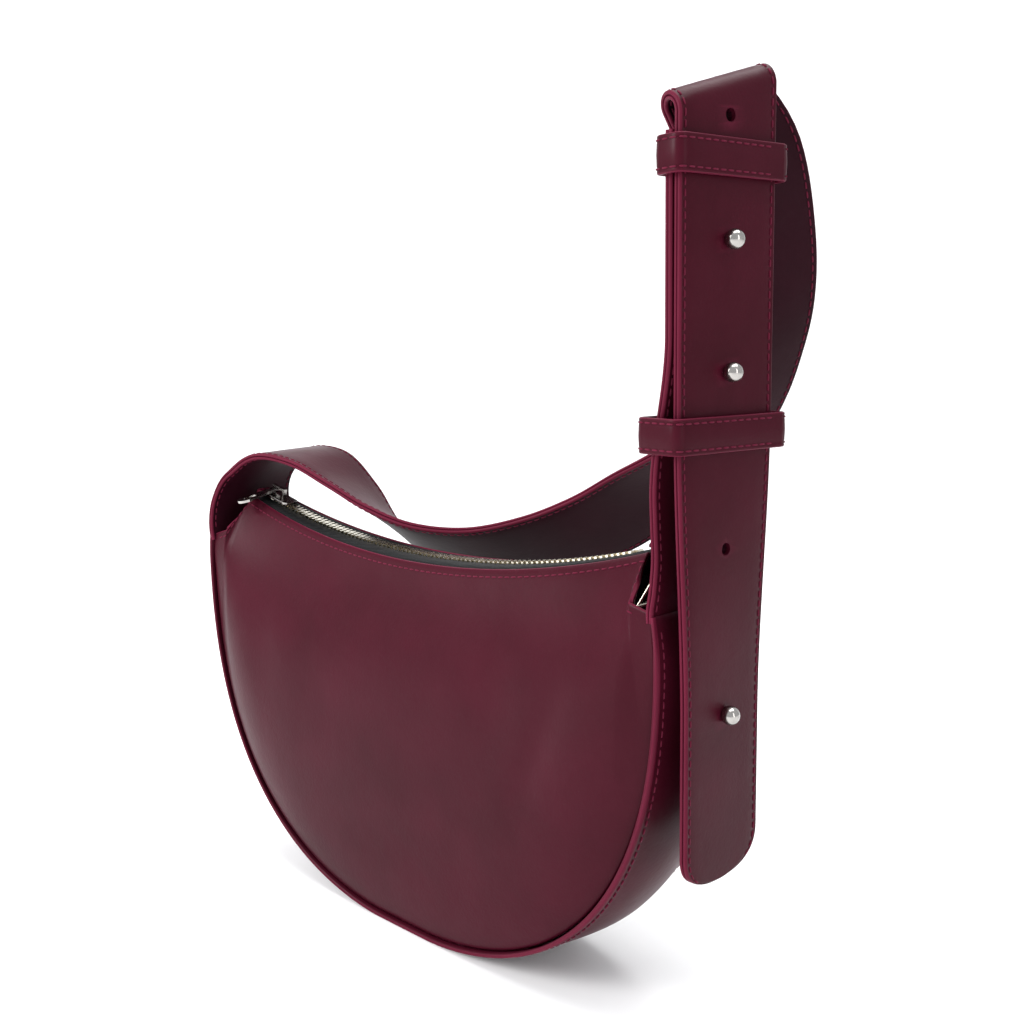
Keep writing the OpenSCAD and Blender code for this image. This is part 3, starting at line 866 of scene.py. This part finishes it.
for obj in list(bpy.context.scene.objects):
    if obj.type == "MESH" and obj.name not in frame["nodes"]:
        shape = bmesh.new()
        shape.from_mesh(obj.data)
        bmesh.ops.recalc_face_normals(shape, faces=shape.faces)
        shape.to_mesh(obj.data)
        shape.free()

# ---- floor, light and camera --------------------------------------------------------------------

YAW = math.radians(43.5)
PITCH = math.radians(9.03)
ROLL = -0.0159


def floor_and_backdrop():
    """A pale sweep: flat under the bag, curving up far behind it."""
    profile = [(-2.5, 0.0), (1.2, 0.0)]
    bend = np.linspace(0, math.pi / 2, 17)[1:]
    profile += [(1.2 + 0.8 * math.sin(a), 0.8 - 0.8 * math.cos(a)) for a in bend]
    profile += [(2.0, 3.0)]
    rings = []
    for across in (-4.0, 4.0):
        ring = []
        for away, up in profile:
            x = across * math.cos(YAW) - away * math.sin(YAW)
            y = across * math.sin(YAW) + away * math.cos(YAW)
            ring.append((x * 1000, y * 1000, up * 1000 - 0.2))
        rings.append(ring)
    verts, faces = loft(rings, closed=False, caps=False)
    mesh = bpy.data.meshes.new("floor")
    mesh.from_pydata([tuple(v) for v in np.asarray(verts) * 0.001], [], faces)
    mesh.polygons.foreach_set("use_smooth", [True] * len(mesh.polygons))
    paper, tree, shader, place = new_material("floor_paper", Roughness=0.9)
    tree.links.new(
        ramp(tree, noise(tree, place, 3.0), (0.91, 0.91, 0.91, 1), (0.93, 0.93, 0.93, 1)),
        shader.inputs["Base Color"],
    )
    tree.links.new(bump(tree, noise(tree, place, 400.0), 0.0001, 0.1), shader.inputs["Normal"])
    mesh.materials.append(paper)
    obj = bpy.data.objects.new("floor", mesh)
    bpy.context.scene.collection.objects.link(obj)


floor_and_backdrop()


def soft_box(name, place, target, width, height, power):
    light = bpy.data.lights.new(name, "AREA")
    light.shape = "RECTANGLE"
    light.size = width
    light.size_y = height
    light.energy = power
    obj = bpy.data.objects.new(name, light)
    obj.location = place
    obj.rotation_mode = "QUATERNION"
    obj.rotation_quaternion = (Vector(target) - Vector(place)).to_track_quat("-Z", "Y")
    bpy.context.scene.collection.objects.link(obj)


soft_box("key", (-0.75, -1.45, 0.95), (0, 0, 0.12), 0.8, 0.8, 34)
soft_box("side_strip", (1.55, -0.30, 0.55), (0.15, 0, 0.22), 0.22, 1.3, 4)
soft_box("overhead", (0.1, 0.2, 1.7), (0, 0, 0.15), 1.4, 1.4, 30)

world = bpy.data.worlds.new("studio")
world.use_nodes = True
world.node_tree.nodes["Background"].inputs["Color"].default_value = (0.95, 0.97, 1.0, 1)
world.node_tree.nodes["Background"].inputs["Strength"].default_value = 0.85
bpy.context.scene.world = world
bpy.context.scene.view_settings.view_transform = "Standard"

# The camera: 9 degrees down, 43.5 degrees round to the right of the front.
level = math.cos(PITCH)
forward = np.array([-math.sin(YAW) * level, math.cos(YAW) * level, -math.sin(PITCH)])
right = np.array([math.cos(YAW), math.sin(YAW), 0])
up = np.cross(right, forward)
right_rolled = right * math.cos(ROLL) + up * math.sin(ROLL)
up_rolled = -right * math.sin(ROLL) + up * math.cos(ROLL)
camera = bpy.data.cameras.new("camera")
camera.lens = 40.8
camera.sensor_width = 36
camera.shift_x = -0.0127
camera.shift_y = 0.0107
camera_object = bpy.data.objects.new("camera", camera)
camera_object.matrix_world = Matrix(
    (
        (right_rolled[0], up_rolled[0], -forward[0], 0.380),
        (right_rolled[1], up_rolled[1], -forward[1], -0.341),
        (right_rolled[2], up_rolled[2], -forward[2], 0.2625),
        (0, 0, 0, 1),
    )
)
bpy.context.scene.collection.objects.link(camera_object)
bpy.context.scene.camera = camera_object
